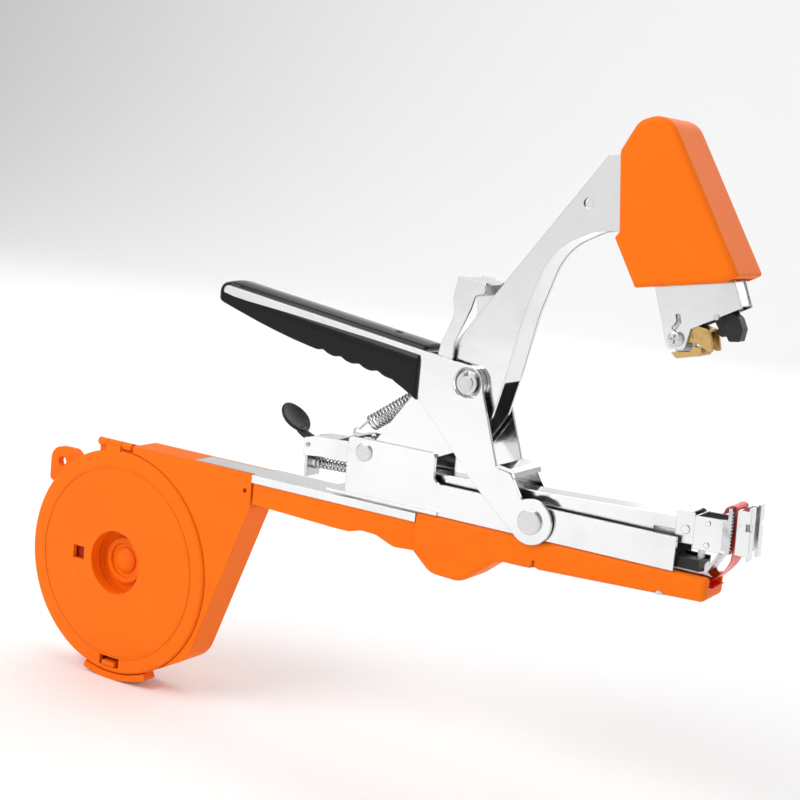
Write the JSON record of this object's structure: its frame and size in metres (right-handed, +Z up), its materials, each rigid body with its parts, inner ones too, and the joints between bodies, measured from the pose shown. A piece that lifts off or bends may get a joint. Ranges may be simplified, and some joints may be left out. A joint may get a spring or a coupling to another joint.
{
  "type": "plant-tying tape stapler",
  "caption": "Hand tool that wraps a loop of tape round a plant stem and stake and staples it: tape case, staple magazine, squeeze lever and swinging clincher head.",
  "frame": {"origin": "middle of the bounding box's bottom, under the whole tool", "axes": "+X forward to the stapling nose, +Z up in the working attitude, +Y to the side away from the case lid"},
  "size_m": [0.3112, 0.0262, 0.2457],
  "materials": {
    "orange_plastic": "satin moulded plastic, bright orange",
    "plated_steel": "bright nickel-plated pressed sheet",
    "steel": "plain steel",
    "spring_wire": "drawn spring wire",
    "black_vinyl": "glossy dipped vinyl",
    "black_plastic": "black moulded plastic",
    "brass": "bright brass",
    "staple_wire": "galvanised wire stick",
    "red_tape": "thin red film",
    "core_plastic": "pale moulded core"
  },
  "bodies": {
    "base": {"base_frame": "plated_steel", "lower_grip": "orange_plastic", "grip_screws": "steel", "tape_rail": "plated_steel", "tape_case": "orange_plastic", "lid_pin": "steel", "case_screw": "steel", "tape_lead": "red_tape", "driver_blade": "steel", "driver_block": "black_plastic", "nose_guide": "steel", "hinge_rivets": "steel", "lift_spring": "spring_wire"},
    "lid": {"case_lid": "orange_plastic"},
    "roll": {"roll_core": "core_plastic", "tape_roll": "red_tape"},
    "magazine": {"magazine_channel": "steel", "magazine_cover": "plated_steel", "tail_bracket": "plated_steel", "tail_end": "steel", "guide_rod": "steel", "staple_stick": "staple_wire", "nose_plate": "plated_steel", "nose_box": "plated_steel", "tooth_band": "steel", "tape_gate": "plated_steel", "nose_tie": "steel", "tape_end": "red_tape", "tab_pin": "steel"},
    "pusher": {"staple_pusher": "black_plastic", "pusher_spring": "spring_wire"},
    "tab": {"release_tab": "black_plastic"},
    "lever": {"handle_lever": "plated_steel", "handle_sleeve": "black_vinyl", "drive_pin": "steel", "pin_clips": "steel", "lever_pin": "steel", "stop_bracket": "plated_steel"},
    "arm": {"clincher_arm": "plated_steel", "head_cover": "orange_plastic", "head_screw": "steel", "head_bracket": "plated_steel", "catch_screw": "steel", "clincher_anvil": "brass", "anvil_stem": "steel", "catch_spring": "spring_wire", "presser_pin": "steel", "cutter_blade": "steel", "return_spring": "spring_wire"},
    "catch": {"tape_catch": "brass"},
    "presser": {"tape_presser": "black_plastic"}
  },
  "joints": [
    {"name": "lid_hinge", "type": "hinge", "parent": "base", "child": "lid", "pos_m": [-0.10862, -0.0069, 0.099], "axis": [-1, 0, 0], "range_deg": [0, 100]},
    {"name": "roll_spin", "type": "hinge", "parent": "base", "child": "roll", "pos_m": [-0.10862, -0.0007, 0.05], "axis": [0, 1, 0], "continuous": true},
    {"name": "magazine_hinge", "type": "hinge", "parent": "base", "child": "magazine", "pos_m": [0.00868, -0.0007, 0.1181], "axis": [0, 1, 0], "range_deg": [0, 1.2], "stiffness_Nm_per_rad": 8, "springref_deg": -5.73, "deforming": ["lift_spring"]},
    {"name": "pusher_slide", "type": "slide", "parent": "magazine", "child": "pusher", "axis": [-0.9993, 0, -0.0384], "range_m": [0, 0.03], "stiffness_N_per_m": 60, "springref_m": -0.03, "deforming": ["pusher_spring"]},
    {"name": "tab_hinge", "type": "hinge", "parent": "magazine", "child": "tab", "pos_m": [-0.01856, -0.0007, 0.11595], "axis": [0, -1, 0], "range_deg": [0, 12], "stiffness_Nm_per_rad": 0.02, "springref_deg": -22.92},
    {"name": "lever_hinge", "type": "hinge", "parent": "base", "child": "lever", "pos_m": [0.07968, -0.0007, 0.1069], "axis": [0, -1, 0], "range_deg": [0, 18], "stiffness_Nm_per_rad": 1.2, "springref_deg": -28.65},
    {"name": "arm_hinge", "type": "hinge", "parent": "base", "child": "arm", "pos_m": [0.00868, -0.0007, 0.1181], "axis": [0, 1, 0], "range_deg": [0, 20], "deforming": ["return_spring"]},
    {"name": "catch_hinge", "type": "hinge", "parent": "arm", "child": "catch", "pos_m": [0.12238, -0.0007, 0.1759], "axis": [0, -1, 0], "range_deg": [0, 8], "stiffness_Nm_per_rad": 0.02, "springref_deg": -28.65},
    {"name": "presser_hinge", "type": "hinge", "parent": "arm", "child": "presser", "pos_m": [0.13498, -0.0007, 0.1846], "axis": [0, -1, 0], "range_deg": [0, 8], "stiffness_Nm_per_rad": 0.02, "springref_deg": -28.65}
  ],
  "couplings": [
    {"joint": "arm_hinge", "follows": "lever_hinge", "ratio": 1.1111}
  ]
}
